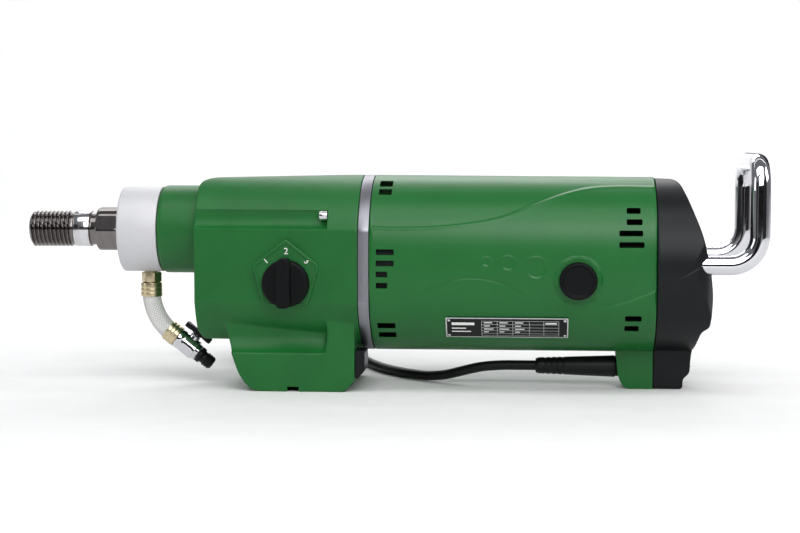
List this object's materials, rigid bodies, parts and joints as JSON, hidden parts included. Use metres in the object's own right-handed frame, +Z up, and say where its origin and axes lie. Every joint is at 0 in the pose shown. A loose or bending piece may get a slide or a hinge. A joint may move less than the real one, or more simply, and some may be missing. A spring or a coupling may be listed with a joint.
{
  "type": "core drill motor",
  "caption": "Three-speed wet core drill motor: threaded spindle, water collar with ball-valve hose, gearbox on a keyed mounting pad, long motor housing and a U-shaped handle.",
  "frame": {"origin": "on the mounting pad's face, on its centre plane, on the land behind the keyway", "axes": "+X from the drill spindle to the carrying handle, +Y to the side away from the speed selector, +Z up from the mounting pad"},
  "size_m": [0.6368, 0.3059, 0.202],
  "materials": {
    "aluminium": "satin machined",
    "painted_casting": "semi-matte green paint on cast aluminium",
    "painted_housing": "semi-gloss green paint",
    "black_plastic": "fine-textured moulding",
    "rubber": "smooth rubber",
    "machined_steel": "turned and ground",
    "bearing_steel": "ground",
    "chromed": "polished chrome plate",
    "brass": "turned",
    "hose_plastic": "clear braided hose",
    "electrical_steel": "laminated stack",
    "copper": "copper segments",
    "carbon": "pressed carbon"
  },
  "bodies": {
    "machine": {"water_collar": "aluminium", "bearing_plate": "aluminium", "intermediate_flange": "aluminium", "bearing_bridge": "aluminium", "rating_plate": "aluminium", "gearbox_housing": "painted_casting", "motor_housing": "painted_housing", "rear_cap": "black_plastic", "brush_cap_near": "black_plastic", "brush_cap_far": "black_plastic", "rear_bumper": "black_plastic", "switch_body": "black_plastic", "electronics_module": "black_plastic", "cord_tie": "black_plastic", "seal_front": "rubber", "seal_rear": "rubber", "shaft_seal": "rubber", "cord_boot": "rubber", "cord_run": "rubber", "cord_coil": "rubber", "cord_plug": "rubber", "shift_rail": "machined_steel", "collar_cover": "bearing_steel", "bearing_front": "bearing_steel", "bearing_rear": "bearing_steel", "lay_bearing_front": "bearing_steel", "lay_bearing_rear": "bearing_steel", "motor_bearing_front": "bearing_steel", "motor_bearing_rear": "bearing_steel", "flange_screw_near": "bearing_steel", "flange_screw_far": "bearing_steel", "coupling_nipple": "bearing_steel", "carrying_handle": "chromed", "valve_body": "chromed", "hose_fitting": "brass", "crimp_upper": "brass", "crimp_lower": "brass", "brush_holder_near": "brass", "brush_holder_far": "brass", "water_hose": "hose_plastic", "stator": "electrical_steel", "carbon_brush_near": "carbon", "carbon_brush_far": "carbon"},
    "drill_spindle": {"spindle": "machined_steel", "gear_two": "machined_steel"},
    "first_gear": {"gear_one": "machined_steel"},
    "third_gear": {"gear_three": "machined_steel"},
    "lay_gears": {"layshaft": "machined_steel", "input_gear": "machined_steel"},
    "armature": {"armature_shaft": "machined_steel", "armature_core": "electrical_steel", "commutator": "copper", "cooling_fan": "black_plastic"},
    "selector": {"selector_knob": "black_plastic", "selector_crank": "machined_steel"},
    "fork": {"shift_fork": "machined_steel"},
    "key": {"draw_key": "machined_steel"},
    "water_valve": {"valve_ball": "bearing_steel", "valve_lever": "black_plastic"},
    "rocker": {"switch_rocker": "black_plastic"}
  },
  "joints": [
    {"name": "armature_spin", "type": "hinge", "parent": "machine", "child": "armature", "pos_m": [0.15, 0, 0.107], "axis": [1, 0, 0], "continuous": true},
    {"name": "layshaft_spin", "type": "hinge", "parent": "machine", "child": "lay_gears", "pos_m": [0, 0, 0.077], "axis": [1, 0, 0], "continuous": true},
    {"name": "spindle_spin", "type": "hinge", "parent": "machine", "child": "drill_spindle", "pos_m": [-0.15, 0, 0.135], "axis": [1, 0, 0], "continuous": true},
    {"name": "gear_one_spin", "type": "hinge", "parent": "machine", "child": "first_gear", "pos_m": [-0.079, 0, 0.135], "axis": [1, 0, 0], "continuous": true},
    {"name": "gear_three_spin", "type": "hinge", "parent": "machine", "child": "third_gear", "pos_m": [-0.054, 0, 0.135], "axis": [1, 0, 0], "continuous": true},
    {"name": "selector_turn", "type": "hinge", "parent": "machine", "child": "selector", "pos_m": [-0.029, -0.06, 0.0929], "axis": [0, 1, 0], "range_deg": [-45.1, 45.1]},
    {"name": "fork_slide", "type": "slide", "parent": "machine", "child": "fork", "axis": [1, 0, 0], "range_m": [-0.0125, 0.0125]},
    {"name": "draw_key_slide", "type": "slide", "parent": "drill_spindle", "child": "key", "axis": [1, 0, 0], "range_m": [-0.0126, 0.0126]},
    {"name": "water_valve_turn", "type": "hinge", "parent": "machine", "child": "water_valve", "pos_m": [-0.12533, 0, 0.03201], "axis": [0.6157, 0, 0.788], "range_deg": [0, 90]},
    {"name": "rocker_tilt", "type": "hinge", "parent": "machine", "child": "rocker", "pos_m": [0.308, 0, 0.0233], "axis": [0, 1, 0], "range_deg": [-8, 0]}
  ],
  "couplings": [
    {"joint": "layshaft_spin", "follows": "armature_spin", "ratio": -0.5},
    {"joint": "spindle_spin", "follows": "armature_spin", "ratio": 0.40625},
    {"joint": "gear_one_spin", "follows": "armature_spin", "ratio": 0.30556},
    {"joint": "gear_three_spin", "follows": "armature_spin", "ratio": 0.5},
    {"joint": "selector_turn", "follows": "fork_slide", "rad_per_m": 62.832},
    {"joint": "draw_key_slide", "follows": "fork_slide", "ratio": 1}
  ]
}
